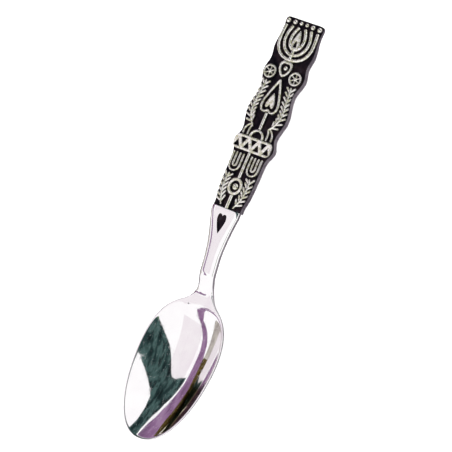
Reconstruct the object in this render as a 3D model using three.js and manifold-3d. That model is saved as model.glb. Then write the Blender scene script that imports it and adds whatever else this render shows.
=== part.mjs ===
// Souvenir spoon with an openwork-style relief handle, resting on a table.
// Millimetres, +Z up, +Y from the bowl to the handle tip, origin under the middle of the object.
// Every raised ornament is a piece of its own that sits on the darkened handle plate.

import * as THREE from 'three';
import { mergeVertices } from 'three/addons/utils/BufferGeometryUtils.js';
import Module from 'manifold-3d';

const wasm = await Module();
wasm.setup();

// ---- driving sizes --------------------------------------------------------------------------

// where the three big pieces begin and end along the spoon
const PLATE_TIP = 57.5;          // end of the handle plate
const BLOCK_TOP = 5.2;           // the heart block starts where the plate stops
const STEM_FOOT = -21.8;         // the stem is cut by the bowl before it gets this far
const BOWL_HEEL = -19.2;         // bowl rim next to the stem
const BOWL_TIP = -57.3;          // bowl rim at the far end

// how the handle lies
const HANDLE_ANGLE = THREE.MathUtils.degToRad(6.8);   // the handle drops towards its tip
const TIP_GROUND = 0.8;          // plate face above the table at the tip
const STEM_FALL = 0.26;          // how steeply the stem falls away from the line of the handle
const FALL_EASE = 2;             // length over which that fall sets in
const NECK_START = -11.5;        // nearer to the bowl than this the neck bends down
const NECK_END = -18;            // here it has come down to the bowl
const HANDLE_SHIFT = 0.2;        // the sloping handle is moved this far towards its tip

// plate, relief and stem
const TIP_CORNER = 5.8;          // half width of the square end of the plate
const PLATE_THICKNESS = 1.8;
const RELIEF = 0.8;              // height of the tall ornaments above the plate
const LOW_RELIEF = 0.62;         // height of leaves and inner straps
const SOLDER_GAP = 0.02;         // joint line between two pieces
const STEM_THICKNESS = 2.4;
const FOOT_THICKNESS = 1.1;      // the stem thins towards the bowl
const NECK_HALF_WIDTH = 2.25;
const BLOCK_HALF_WIDTH = 4.15;
const HEART_Y = 1.2;             // middle of the sunk heart
const HEART_DEPTH = 0.65;
const HEART_TILT = THREE.MathUtils.degToRad(12);      // its floor follows the fall of the stem
const FOOT_FILLET = 7;           // radius with which the stem opens out at the bowl
const FILLET_LENGTH = 4.6;       // the opening starts this far before the heel
const FILLET_REACH = 6;          // and ends this far after its start, where it meets the rim

// bowl
const BOWL_WIDTH = 22.9;
const BOWL_DEPTH = 5.5;
const BOWL_WALL = 0.9;
const RIM_WIDTH = 0.65;
const BOWL_TILT = 0.186;         // the rim rises towards the tip
const RIM_SAG = 0.35;            // the long sides of the rim lie lower than a flat rim would
const BOWL_WEAR = 0.12;          // depth of the flat spot under the bowl
const EGG = 0.15;                // how far the widest place is moved towards the heel
const FULLNESS = 2.25;           // exponent of the outline, 2 is an ellipse
const DISH = 2.3;                // exponent of the dish, 2 is a parabola

// widths of the bars that the ornaments are made of
const ARM_WIDTH = 0.86;
const BAND_WIDTH = 0.66;
const U_WIDTH = 0.56;
const MID_STEM_WIDTH = 0.8;
const TWIG_WIDTH = 0.5;
const LEAF_PITCH = 1.3;
const LEAF_LENGTH = 1.95;
const LEAF_WIDTH = 0.46;
const LEAF_CLEARANCE = 0.16;     // leaves stop this far from the ornaments beside them
const PLATE_MARGIN = 0.12;       // bare strip of plate outside the leaves
const LEAF_ANGLE = THREE.MathUtils.degToRad(43);

const ROSETTE_X = 3.85;
const ROSETTE_Y = 42.3;

// disc between the lower branches
const DISC_Y = 11.25;
const DISC_RX = 2.05;
const DISC_RY = 2.3;
const LOWER_STEM_WIDTH = 0.95;

// ---- helpers ----------------------------------------------------------------------------------

// three.js geometry to a manifold solid
function solid(geometry) {
  const bare = new THREE.BufferGeometry();
  bare.setAttribute('position', geometry.getAttribute('position').clone());
  if (geometry.index) bare.setIndex(geometry.index.clone());
  const welded = mergeVertices(bare, 1e-4);
  return new wasm.Manifold(new wasm.Mesh({
    numProp: 3,
    vertProperties: new Float32Array(welded.attributes.position.array),
    triVerts: new Uint32Array(welded.index.array),
  }));
}

// manifold solid back to three.js geometry
function geometryOf(shape) {
  const mesh = shape.getMesh();
  const geometry = new THREE.BufferGeometry();
  geometry.setAttribute('position', new THREE.BufferAttribute(new Float32Array(mesh.vertProperties), 3));
  geometry.setIndex(new THREE.BufferAttribute(new Uint32Array(mesh.triVerts), 1));
  geometry.computeVertexNormals();
  return geometry;
}

// several overlapping solids made one
function join(shapes) {
  return shapes.reduce((whole, shape) => whole.add(shape));
}

function mirrored(points) {
  return points.map(([x, y]) => [-x, y]);
}

// left half from bottom centre to the top, and the same points back up on the right
function both(points) {
  return [...points, ...mirrored(points).reverse().slice(1)];
}

// upright prism over a flat outline
function prism(shape, low, high, smoothness) {
  const geometry = new THREE.ExtrudeGeometry(shape, {
    depth: high - low, bevelEnabled: false, curveSegments: smoothness,
  });
  geometry.translate(0, 0, low);
  return solid(geometry);
}

// flat ornament with upright sides, standing on the plate, with openings right through it
function raised(shape, height = RELIEF, smoothness = 6, openings = []) {
  const body = prism(shape, SOLDER_GAP, height, smoothness);
  return openings.reduce((rest, opening) => rest.subtract(prism(opening, -1, height + 1, smoothness)), body);
}

// bar with bevelled top edges that follows a line through the points
function strap(points, width, height = RELIEF, steps = 0) {
  const half = width / 2;
  const section = new THREE.Shape();
  section.moveTo(-SOLDER_GAP, -half);
  section.lineTo(-SOLDER_GAP, half);
  section.lineTo(-height * 0.62, half);
  section.lineTo(-height, half * 0.45);
  section.lineTo(-height, -half * 0.45);
  section.lineTo(-height * 0.62, -half);
  section.closePath();
  const path = new THREE.CatmullRomCurve3(points.map(([x, y]) => new THREE.Vector3(x, y, 0)));
  const count = steps || 3 * (points.length - 1);
  return solid(new THREE.ExtrudeGeometry(section, { steps: count, bevelEnabled: false, extrudePath: path }));
}

// low dome with a flat base
function dome(x, y, radius, height = RELIEF, segments = 10) {
  const profile = [new THREE.Vector2(0, 0), new THREE.Vector2(radius, 0)];
  const rings = 3;
  for (let i = 0; i < rings; i += 1) {
    const turn = (i / rings) * Math.PI / 2;
    const up = 0.35 + 0.65 * Math.sin(turn);
    profile.push(new THREE.Vector2(radius * Math.cos(turn), (height - SOLDER_GAP) * up));
  }
  profile.push(new THREE.Vector2(0, height - SOLDER_GAP));
  const geometry = new THREE.LatheGeometry(profile, segments);
  geometry.rotateX(Math.PI / 2);
  geometry.translate(x, y, SOLDER_GAP);
  return solid(geometry);
}

function smoothLine(points) {
  return points.map(([x, y]) => new THREE.Vector2(x, y));
}

// closed outline that is smooth through the points
function outline(points) {
  const [first, ...rest] = smoothLine(points);
  const shape = new THREE.Shape();
  shape.moveTo(first.x, first.y);
  shape.splineThru(rest);
  shape.closePath();
  return shape;
}

function ellipse(x, y, rx, ry) {
  const shape = new THREE.Shape();
  shape.absellipse(x, y, rx, ry, 0, Math.PI * 2);
  return shape;
}

function ring(x, y, rx, ry, band, height = RELIEF) {
  return raised(ellipse(x, y, rx, ry), height, 10, [ellipse(x, y, rx - band, ry - band)]);
}

function finish(color, roughness) {
  return new THREE.MeshStandardMaterial({ color, roughness, metalness: 1 });
}

const silver = () => finish(0xf1eef0, 0.12);
const reliefSilver = () => finish(0xe9e8df, 0.2);
const oxidised = () => finish(0x221f27, 0.45);

function piece(name, shape, material) {
  const mesh = new THREE.Mesh(geometryOf(shape), material);
  mesh.name = name;
  return mesh;
}

// ---- bowl ---------------------------------------------------------------------------------------

const bowlMiddle = (BOWL_HEEL + BOWL_TIP) / 2;
const bowlHalfLength = (BOWL_HEEL - BOWL_TIP) / 2;

// rim height before the bowl is set down on the table
function rimShape(y) {
  const along = (y - bowlMiddle) / bowlHalfLength;
  return -BOWL_TILT * (y - bowlMiddle) - RIM_SAG * (1 - along * along);
}

// the lowest place of the dish decides how high the rim stands
function lowestUnderRim() {
  const stations = 80;
  let lowest = Infinity;
  for (let i = 0; i <= stations; i += 1) {
    const along = -1 + (2 * i) / stations;
    const under = rimShape(bowlMiddle + along * bowlHalfLength) - BOWL_DEPTH * (1 - Math.abs(along) ** DISH);
    lowest = Math.min(lowest, under);
  }
  return lowest;
}

const rimLift = -lowestUnderRim() - BOWL_WEAR;

function rimHeight(y) {
  return rimShape(y) + rimLift;
}

// egg-shaped dish filled up to the rim: "inset" makes it smaller, "lid" carries its top above the rim
function dish(inset, depth, lid) {
  const rings = 8;
  const profile = [];
  for (let i = 0; i <= rings; i += 1) {
    const reach = Math.sin((i / rings) * Math.PI / 2);
    profile.push(new THREE.Vector2(reach, reach ** DISH - 1));
  }
  if (lid > 0) profile.push(new THREE.Vector2(1, lid));
  profile.push(new THREE.Vector2(0, lid));
  const geometry = new THREE.LatheGeometry(profile, 48);
  geometry.rotateX(Math.PI / 2);
  const position = geometry.attributes.position;
  for (let i = 0; i < position.count; i += 1) {
    const reach = Math.hypot(position.getX(i), position.getY(i));
    const turn = Math.atan2(position.getX(i), position.getY(i));
    const power = 2 / FULLNESS;
    const along = reach * Math.sign(Math.cos(turn)) * Math.abs(Math.cos(turn)) ** power;
    const across = reach * Math.sign(Math.sin(turn)) * Math.abs(Math.sin(turn)) ** power;
    const y = bowlMiddle + (bowlHalfLength - inset) * along;
    const x = (BOWL_WIDTH / 2 - inset) * across * (1 + EGG * along);
    const level = position.getZ(i);
    const z = rimHeight(y) + (level < 0 ? depth * level : level);
    position.setXYZ(i, x, y, z);
  }
  return geometry;
}

// everything below the table top is cut away
function aboveTable(shape) {
  const size = 200;
  const room = new THREE.BoxGeometry(size, size, size);
  room.translate(0, 0, size / 2);
  return shape.intersect(solid(room));
}

function makeBowl() {
  const outside = solid(dish(0, BOWL_DEPTH, 0));
  const inside = solid(dish(RIM_WIDTH, BOWL_DEPTH - BOWL_WALL, 2));
  return aboveTable(outside.subtract(inside));
}

// ---- stem with the heart block --------------------------------------------------------------------

const groundMiddle = TIP_GROUND + PLATE_TIP * Math.sin(HANDLE_ANGLE);
const slope = Math.tan(HANDLE_ANGLE);

// top of the ornaments, carried on as a straight line towards the bowl
function crestLine(y) {
  return groundMiddle + RELIEF / Math.cos(HANDLE_ANGLE) - slope * (y - HANDLE_SHIFT);
}

// how far the straight part of the stem has fallen below the line of the handle
function stemFall(y) {
  const distance = Math.max(0, BLOCK_TOP - y);
  return STEM_FALL * distance ** 2 / (distance + FALL_EASE);
}

// top of the stem: a straight fall from the block, then the neck down to the heel of the bowl
function stemTop(y) {
  const t = THREE.MathUtils.clamp((NECK_START - y) / (NECK_START - NECK_END), 0, 1);
  const neck = crestLine(BOWL_HEEL) - stemFall(BOWL_HEEL) - rimHeight(BOWL_HEEL);
  return crestLine(y) - stemFall(y) - neck * t * t * (3 - 2 * t);
}

function stemHalfWidth(y) {
  const taper = THREE.MathUtils.clamp((y + 8) / 12, 0, 1);
  const shoulder = (BLOCK_HALF_WIDTH - NECK_HALF_WIDTH) * taper ** 1.5;
  const into = THREE.MathUtils.clamp(BOWL_HEEL + FILLET_LENGTH - y, 0, FILLET_REACH);
  const opening = FOOT_FILLET - Math.sqrt(FOOT_FILLET ** 2 - into ** 2);
  return NECK_HALF_WIDTH + shoulder + opening;
}

// a round bar whose rings are pressed to a rounded rectangle and led along the stem
function stemBar() {
  const rings = 28;
  const geometry = new THREE.CylinderGeometry(1, 1, 1, 16, rings);
  const position = geometry.attributes.position;
  const lean = Math.sin(HANDLE_ANGLE);
  const upright = Math.cos(HANDLE_ANGLE);
  const blockEnd = BLOCK_TOP * upright + RELIEF * lean + HANDLE_SHIFT;
  for (let i = 0; i < position.count; i += 1) {
    const y = STEM_FOOT + (position.getY(i) + 0.5) * (blockEnd - STEM_FOOT);
    const turn = Math.atan2(position.getZ(i), position.getX(i));
    const reach = Math.hypot(position.getX(i), position.getZ(i));
    const across = Math.sign(Math.cos(turn)) * Math.abs(Math.cos(turn)) ** 0.5;
    const up = Math.sign(Math.sin(turn)) * Math.abs(Math.sin(turn)) ** 0.5;
    const x = stemHalfWidth(y) * across * reach;
    const thin = THREE.MathUtils.smoothstep(BOWL_HEEL + 6 - y, 0, 8);
    const thickness = THREE.MathUtils.lerp(STEM_THICKNESS, FOOT_THICKNESS, thin);
    const below = (thickness / 2) * (1 - up * reach);
    position.setXYZ(i, x, y - below * lean, stemTop(y) - below * upright);
  }
  return geometry;
}

// heart-shaped sink in the block, point towards the bowl
function heartSink() {
  const shape = new THREE.Shape();
  shape.moveTo(0, -1.5);
  shape.quadraticCurveTo(0.9, 0.4, 1.3, 2.2);
  shape.quadraticCurveTo(1.35, 3.8, 0.65, 3.75);
  shape.quadraticCurveTo(0.15, 3.7, 0, 3.2);
  shape.quadraticCurveTo(-0.15, 3.7, -0.65, 3.75);
  shape.quadraticCurveTo(-1.35, 3.8, -1.3, 2.2);
  shape.quadraticCurveTo(-0.9, 0.4, 0, -1.5);
  const geometry = new THREE.ExtrudeGeometry(shape, { depth: 3, bevelEnabled: false, curveSegments: 5 });
  geometry.translate(0, -HEART_Y, 0);
  geometry.rotateX(HEART_TILT);
  geometry.translate(0, HEART_Y, RELIEF - stemFall(HEART_Y) - HEART_DEPTH);
  geometry.applyMatrix4(handleMatrix());
  return solid(geometry);
}

function handleMatrix() {
  const matrix = new THREE.Matrix4().makeRotationX(-HANDLE_ANGLE);
  matrix.setPosition(0, HANDLE_SHIFT, groundMiddle);
  return matrix;
}

function makeStem() {
  const bar = solid(stemBar());
  const bowlRoom = solid(dish(-SOLDER_GAP, BOWL_DEPTH + SOLDER_GAP, 6));
  return bar.subtract(bowlRoom).subtract(heartSink());
}

// ---- handle plate -----------------------------------------------------------------------------------

// right edge of the plate, from the block to the tip
const PLATE_SIDE = [
  [BLOCK_HALF_WIDTH - 0.1, BLOCK_TOP + SOLDER_GAP], [4.1, 7], [4.55, 10], [4.75, 15], [4.85, 19.6],
  [6, 22.8], [4.95, 26.2], [6, 31.5], [4.95, 37.6], [6.15, 42.3], [5.45, 45.9], [5.95, 49.4],
  [5.5, 53.6], [TIP_CORNER - 0.1, PLATE_TIP - 1.3],
];

// outline of the plate, "margin" makes it narrower on both sides
function plateOutline(margin) {
  const side = PLATE_SIDE.map(([x, y]) => [x - margin, y]);
  const shape = new THREE.Shape();
  const [first, ...rest] = smoothLine(side);
  shape.moveTo(first.x, first.y);
  shape.splineThru(rest);
  const corner = TIP_CORNER - margin;
  shape.quadraticCurveTo(corner, PLATE_TIP, corner - 1, PLATE_TIP);
  shape.lineTo(1 - corner, PLATE_TIP);
  shape.quadraticCurveTo(-corner, PLATE_TIP, 0.1 - corner, PLATE_TIP - 1.3);
  const [, ...back] = smoothLine(mirrored(side).reverse());
  shape.splineThru(back);
  shape.closePath();
  return shape;
}

function makePlate() {
  const geometry = new THREE.ExtrudeGeometry(plateOutline(0), {
    depth: PLATE_THICKNESS, bevelEnabled: false, curveSegments: 3,
  });
  geometry.translate(0, 0, -PLATE_THICKNESS);
  geometry.applyMatrix4(handleMatrix());
  return aboveTable(solid(geometry));
}

// ---- ornaments, in the plane of the plate --------------------------------------------------------------

// centre lines of the arms, from the top down to the middle
const ARMS = [
  [[-4.75, 55.2], [-4.95, 52.6], [-4.8, 50], [-3.75, 48], [-2, 46.85], [0, 46.5]],
  [[-2.75, 55.3], [-3.45, 53.2], [-3.5, 51.2], [-2.7, 49.3], [-1.35, 48.2], [0, 47.85]],
  [[-0.95, 55.3], [-1.7, 53.6], [-1.95, 52], [-1.55, 50.4], [-0.8, 49.6], [0, 49.3]],
];

function makeCandelabrum() {
  const arms = ARMS.map((arm) => strap(both(arm), ARM_WIDTH, RELIEF, 20));
  const centre = strap([[0, 50], [0, 46.4]], MID_STEM_WIDTH, RELIEF, 1);
  const flame = outline([[0, 54.6], [0.62, 53.2], [1.12, 51.2], [0.9, 49.7], [0, 49.2], [-0.9, 49.7],
    [-1.12, 51.2], [-0.62, 53.2], [0, 54.6]]);
  const eye = new THREE.Shape();
  eye.moveTo(0, 52);
  eye.quadraticCurveTo(0.5, 50.9, 0.5, 50.25);
  eye.absarc(0, 50.25, 0.5, 0, -Math.PI, true);
  eye.quadraticCurveTo(-0.5, 50.9, 0, 52);
  return join([...arms, centre, raised(flame, RELIEF, 3, [eye])]);
}

// six flame beads along the tip: place across, place along, radius
const BEADS = [
  ['outer', 4.75, 56.35, 0.7], ['middle', 2.7, 56.4, 0.66], ['inner', 0.85, 56.5, 0.56],
];

function makeMedallion() {
  const shape = outline([[0, 45.95], [1.3, 45.9], [1.85, 44.9], [1.5, 43.2], [0, 41.75], [-1.5, 43.2],
    [-1.85, 44.9], [-1.3, 45.9], [0, 45.95]]);
  const hole = outline([[0, 45.4], [0.9, 45.35], [1.3, 44.7], [1.05, 43.5], [0, 42.4], [-1.05, 43.5],
    [-1.3, 44.7], [-0.9, 45.35], [0, 45.4]]);
  return raised(shape, RELIEF, 2, [hole]);
}

function makeRosette(x, y) {
  const radius = 1.8;
  const band = 0.42;
  const rays = 6;
  const shapes = [ring(x, y, radius, radius, band), dome(x, y, 0.42, RELIEF, 8)];
  for (let i = 0; i < rays; i += 1) {
    const turn = ((i + 0.5) / rays) * Math.PI * 2;
    const reach = radius - band / 2;
    const end = [x + reach * Math.cos(turn), y + reach * Math.sin(turn)];
    shapes.push(strap([[x, y], end], 0.34, LOW_RELIEF, 1));
  }
  return join(shapes);
}

// pointed loop that hangs under the medallion, drawn in at its lower edge
const LOOP = [[0, 41], [-0.75, 39.2], [-1.6, 36.8], [-2.25, 34.6], [-2.3, 33.2], [-1.7, 32.15],
  [-0.85, 32.05], [0, 32.6]];

function makeLoop() {
  return join([strap(LOOP, BAND_WIDTH), strap(mirrored(LOOP), BAND_WIDTH)]);
}

function makeInnerHeart() {
  const shape = new THREE.Shape();
  shape.moveTo(0, 37.2);
  shape.quadraticCurveTo(0.6, 36.2, 1.1, 34.6);
  shape.quadraticCurveTo(1.35, 33.2, 0.8, 33.15);
  shape.quadraticCurveTo(0.35, 33.2, 0, 34.3);
  shape.quadraticCurveTo(-0.35, 33.2, -0.8, 33.15);
  shape.quadraticCurveTo(-1.35, 33.2, -1.1, 34.6);
  shape.quadraticCurveTo(-0.6, 36.2, 0, 37.2);
  return raised(shape, RELIEF, 4);
}

// one leaf: a blade with straight sides and a blunt point that starts on the twig
function leaf(x, y, turn, length) {
  const half = LEAF_WIDTH / 2;
  const shoulder = length - half;
  const corners = [[0, -half], [shoulder, -half], [length, 0], [shoulder, half], [0, half]];
  const shape = new THREE.Shape(corners.map(([along, across]) => new THREE.Vector2(
    x + along * Math.cos(turn) - across * Math.sin(turn),
    y + along * Math.sin(turn) + across * Math.cos(turn),
  )));
  return raised(shape, LOW_RELIEF, 1);
}

// twig with a pair of leaves at every pitch, all pointing to its first end
function branch(points, lean, room) {
  const path = new THREE.CatmullRomCurve3(points.map(([x, y]) => new THREE.Vector3(x, y, 0)));
  const count = Math.floor((path.getLength() - 0.5) / LEAF_PITCH);
  const shapes = [strap(points, TWIG_WIDTH, RELIEF, 10)];
  for (let i = 1; i <= count; i += 1) {
    const u = (i * LEAF_PITCH) / path.getLength();
    const here = path.getPointAt(u);
    const way = path.getTangentAt(u).negate();
    const heading = Math.atan2(way.y, way.x);
    shapes.push(leaf(here.x, here.y, heading + lean * LEAF_ANGLE, LEAF_LENGTH));
    shapes.push(leaf(here.x, here.y, heading - lean * LEAF_ANGLE, LEAF_LENGTH));
  }
  const onPlate = prism(plateOutline(PLATE_MARGIN), 0, RELIEF, 3);
  return join(shapes).intersect(onPlate).subtract(room);
}

const UPPER_BRANCH = [[3.8, 39.9], [3.95, 38], [4.15, 36], [4.4, 34], [4.45, 32.2], [4.15, 30.4],
  [3.4, 28.9], [2.4, 27.75]];
// two long leaves that hang from the lower end of the upper branch, down to the crown
const CROWN_LEAVES = [
  [[2.4, 27.75], [2.75, 26.8], [2.85, 25.9], [2.8, 24.95]],
  [[2.7, 28.1], [3.65, 27.3], [4.15, 26.3], [4.2, 25.0]],
];
const LOWER_BRANCH = [[3.05, 14.2], [3.4, 13], [3.4, 11], [3.2, 9.3], [2.85, 8], [2.35, 6.8],
  [1.85, 5.75]];

// room that the leaves of the upper branch leave for the loop
function loopRoom() {
  const width = BAND_WIDTH + 2 * LEAF_CLEARANCE;
  return join([strap(LOOP, width, 2 * RELIEF), strap(mirrored(LOOP), width, 2 * RELIEF)]);
}

function makeUpperBranch(sign) {
  const place = (points) => points.map(([x, y]) => [sign * x, y]);
  const leaves = CROWN_LEAVES.map((points) => strap(place(points), TWIG_WIDTH, LOW_RELIEF));
  return join([branch(place(UPPER_BRANCH), -sign, loopRoom()), ...leaves]);
}

// room that the leaves of the lower branch leave for the disc and its stem
function discRoom() {
  const disc = ellipse(0, DISC_Y, DISC_RX + LEAF_CLEARANCE, DISC_RY + LEAF_CLEARANCE);
  const stem = strap([[0, DISC_Y], [0, BLOCK_TOP]], LOWER_STEM_WIDTH + 2 * LEAF_CLEARANCE, 2 * RELIEF, 1);
  return prism(disc, -RELIEF, 2 * RELIEF, 10).add(stem);
}

function makeLowerBranch(sign) {
  return branch(LOWER_BRANCH.map(([x, y]) => [sign * x, y]), -sign, discRoom());
}

function makeCrownBand() {
  const low = 20.75;
  const high = 24.6;
  const half = 5.6;
  const corner = 1.1;
  const shape = new THREE.Shape();
  shape.moveTo(-half + corner, low);
  shape.lineTo(half - corner, low);
  shape.quadraticCurveTo(half, low + 0.2, half, (low + high) / 2);
  shape.quadraticCurveTo(half, high, half - corner, high);
  shape.lineTo(-half + corner, high);
  shape.quadraticCurveTo(-half, high, -half, (low + high) / 2);
  shape.quadraticCurveTo(-half, low + 0.2, -half + corner, low);
  const rail = 0.6;
  const pitch = 1.48;
  const windows = 7;
  const openings = [];
  for (let i = 0; i < windows; i += 1) {
    const x = (i - (windows - 1) / 2) * pitch;
    const up = i % 2 === 0;
    const base = up ? low + rail : high - rail;
    const apex = up ? high - rail - 0.75 : low + rail + 0.75;
    const window = new THREE.Shape();
    window.moveTo(x - 0.92, base);
    window.lineTo(x, apex);
    window.lineTo(x + 0.92, base);
    window.closePath();
    openings.push(window);
  }
  return raised(shape, RELIEF, 4, openings);
}

// half ring that stands on the crown band
function makeCrownArch() {
  const radius = 1.78;
  const foot = 24.75;
  const points = [[-radius, foot]];
  const steps = 8;
  for (let i = 1; i < steps; i += 1) {
    const turn = Math.PI - (i / steps) * Math.PI;
    points.push([radius * Math.cos(turn), foot + 0.15 + radius * Math.sin(turn)]);
  }
  points.push([radius, foot]);
  return strap(points, 0.72, RELIEF, 14);
}

// harp-like U with a bead on each end
function makeU(x, halfWidth, bottom, top) {
  const round = halfWidth;
  const points = [[x - halfWidth, top], [x - halfWidth, bottom + round + 1.2], [x - halfWidth, bottom + round]];
  const steps = 6;
  for (let i = 1; i < steps; i += 1) {
    const turn = Math.PI + (i / steps) * Math.PI;
    points.push([x + halfWidth * Math.cos(turn), bottom + round + round * Math.sin(turn)]);
  }
  points.push([x + halfWidth, bottom + round], [x + halfWidth, bottom + round + 1.2], [x + halfWidth, top]);
  const ends = [-1, 1].map((side) => dome(x + side * halfWidth, top, U_WIDTH * 0.58, RELIEF, 8));
  return join([strap(points, U_WIDTH, RELIEF, 16), ...ends]);
}

function bar(from, to, width) {
  return strap([[0, from], [0, to]], width, RELIEF, 1);
}

function makeBoss() {
  const pit = new THREE.CylinderGeometry(0.28, 0.2, 1, 8);
  pit.rotateX(Math.PI / 2);
  pit.translate(0, DISC_Y, RELIEF + 0.2);
  return dome(0, DISC_Y, 0.88, RELIEF, 14).subtract(solid(pit));
}

// ---- assembly --------------------------------------------------------------------------------------------

const spoon = new THREE.Group();
spoon.add(piece('bowl', makeBowl(), silver()));
spoon.add(piece('stem', makeStem(), silver()));
spoon.add(piece('handle_plate', makePlate(), oxidised()));

const ornaments = new THREE.Group();
ornaments.applyMatrix4(handleMatrix());
spoon.add(ornaments);

function ornament(name, shape) {
  ornaments.add(piece(name, shape, reliefSilver()));
}

ornament('candelabrum', makeCandelabrum());
for (const [name, x, y, radius] of BEADS) {
  ornament(`flame_bead_${name}_left`, dome(-x, y, radius));
  ornament(`flame_bead_${name}_right`, dome(x, y, radius));
}
ornament('medallion_frame', makeMedallion());
ornament('medallion_bead', dome(0, 44.2, 0.62));
ornament('rosette_left', makeRosette(-ROSETTE_X, ROSETTE_Y));
ornament('rosette_right', makeRosette(ROSETTE_X, ROSETTE_Y));
ornament('heart_loop', makeLoop());
ornament('inner_heart', makeInnerHeart());
ornament('upper_branch_left', makeUpperBranch(-1));
ornament('upper_branch_right', makeUpperBranch(1));
ornament('upper_stem', bar(31.75, 27.2, MID_STEM_WIDTH));
ornament('crown_arch', makeCrownArch());
ornament('crown_band', makeCrownBand());
for (const [side, sign] of [['left', -1], ['right', 1]]) {
  ornament(`outer_prong_${side}`, makeU(sign * 2.75, 1.5, 15, 19.7));
  ornament(`inner_prong_${side}`, makeU(sign * 2.78, 0.52, 16.2, 19.7));
}
ornament('middle_stem', bar(20.6, 13.65, MID_STEM_WIDTH));
ornament('disc_ring', ring(0, DISC_Y, DISC_RX, DISC_RY, 0.68));
ornament('disc_boss', makeBoss());
ornament('lower_stem', bar(8.85, BLOCK_TOP + 0.05, LOWER_STEM_WIDTH));
ornament('lower_branch_left', makeLowerBranch(-1));
ornament('lower_branch_right', makeLowerBranch(1));

export default spoon;
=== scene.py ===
# %% [markdown]
# # A souvenir spoon in polished and darkened silver
# The frame holds the spoon's parts at their real size, in metres. It is loaded first. The finished model
# has to stay inside it.

# %% Load the frame
import math

import bmesh
import bpy
import numpy as np
from mathutils import Matrix, Vector
from mathutils.geometry import delaunay_2d_cdt


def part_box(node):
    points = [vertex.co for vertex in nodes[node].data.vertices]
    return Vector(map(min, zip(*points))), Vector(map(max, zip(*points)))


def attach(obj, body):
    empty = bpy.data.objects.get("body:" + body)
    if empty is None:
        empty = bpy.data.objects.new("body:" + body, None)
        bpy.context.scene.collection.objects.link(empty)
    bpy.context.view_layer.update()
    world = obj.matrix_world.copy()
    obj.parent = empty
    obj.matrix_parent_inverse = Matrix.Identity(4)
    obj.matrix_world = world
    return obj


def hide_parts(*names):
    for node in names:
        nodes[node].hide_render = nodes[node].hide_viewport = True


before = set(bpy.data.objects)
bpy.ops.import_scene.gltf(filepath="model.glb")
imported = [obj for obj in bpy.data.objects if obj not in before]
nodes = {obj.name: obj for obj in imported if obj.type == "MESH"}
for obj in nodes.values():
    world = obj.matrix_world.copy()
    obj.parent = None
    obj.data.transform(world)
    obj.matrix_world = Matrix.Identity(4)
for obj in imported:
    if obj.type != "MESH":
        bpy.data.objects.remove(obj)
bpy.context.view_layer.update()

MM = 0.001
print("nodes:", len(nodes))

# %% [markdown]
# ## The camera
# The spoon is seen almost from above, leaned over to its right side, with a long lens from 0.7 m, so that
# its outline has nearly no perspective. Three directions (right, up and towards the camera) make its matrix.

# %% Camera
CAMERA_LEAN = math.radians(28.0)
CAMERA_TOWARDS_TIP = math.radians(2.51)
CAMERA_ROLL = math.radians(19.9)
CAMERA_DISTANCE = 0.7
CAMERA_SIDESTEP = -0.00153
CAMERA_RISE = 0.00151
FIELD_WIDTH = 0.1164                           # width of the view at the spoon, in metres
SENSOR_WIDTH = 36

towards = Vector((math.sin(CAMERA_LEAN) * math.cos(CAMERA_TOWARDS_TIP), math.sin(CAMERA_TOWARDS_TIP),
                  math.cos(CAMERA_LEAN) * math.cos(CAMERA_TOWARDS_TIP)))
level_right = Vector((towards.z, 0, -towards.x)).normalized()
level_up = towards.cross(level_right)
right = math.cos(CAMERA_ROLL) * level_right + math.sin(CAMERA_ROLL) * level_up
up = math.cos(CAMERA_ROLL) * level_up - math.sin(CAMERA_ROLL) * level_right
camera_data = bpy.data.cameras.new("camera")
camera_data.type = "PERSP"
camera_data.sensor_width = SENSOR_WIDTH
camera_data.lens = SENSOR_WIDTH * CAMERA_DISTANCE / FIELD_WIDTH
camera = bpy.data.objects.new("camera", camera_data)
place = towards * CAMERA_DISTANCE + right * CAMERA_SIDESTEP + up * CAMERA_RISE
camera.matrix_world = Matrix.Translation(place) @ Matrix((right, up, towards)).transposed().to_4x4()
bpy.context.scene.collection.objects.link(camera)
bpy.context.scene.camera = camera
print("lens: %.0f mm" % camera_data.lens)

# %% [markdown]
# ## The shape of the bowl and the stem
# On the real spoon the bowl is pressed and the stem is forged, and both are filed and polished until one
# flows into the other. A mirror finish shows every facet, so the surface is made as a dense loft:
# a closed section (top line and bottom line) is worked out at many stations along the spoon.
# The bowl's box in the frame gives its two ends and the top of its rim. The other sizes are the ones that
# the part was drawn with. All of them are in millimetres.

# %% Ends of the bowl and the stem
bowl_low, bowl_high = [np.array(corner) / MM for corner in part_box("bowl")]
BOWL_TIP, BOWL_HEEL = bowl_low[1], bowl_high[1]
BOWL_MIDDLE = (BOWL_TIP + BOWL_HEEL) / 2
BOWL_HALF_LENGTH = (BOWL_HEEL - BOWL_TIP) / 2
BLOCK_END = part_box("stem")[1][1] / MM
print("bowl: tip %.2f, heel %.2f mm; block ends at %.2f mm" % (BOWL_TIP, BOWL_HEEL, BLOCK_END))


# %% [markdown]
# The rim is a tilted line with a little sag. Its highest place is the tip of the bowl, which is also the top
# of the bowl's box.

# %% Rim line
BOWL_TILT, RIM_SAG = 0.186, 0.35
rim_lift = bowl_high[2] + BOWL_TILT * (BOWL_TIP - BOWL_MIDDLE)


def rim_height(y):
    along = (y - BOWL_MIDDLE) / BOWL_HALF_LENGTH
    return rim_lift - BOWL_TILT * (y - BOWL_MIDDLE) - RIM_SAG * (1 - along ** 2)


print("rim: heel %.2f, tip %.2f mm" % (rim_height(BOWL_HEEL), rim_height(BOWL_TIP)))


# %% [markdown]
# The block's top lies on the handle's straight top line. From the block on the stem falls away from that
# line, softly at first and then evenly, and the neck brings it down to the heel of the bowl.

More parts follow.
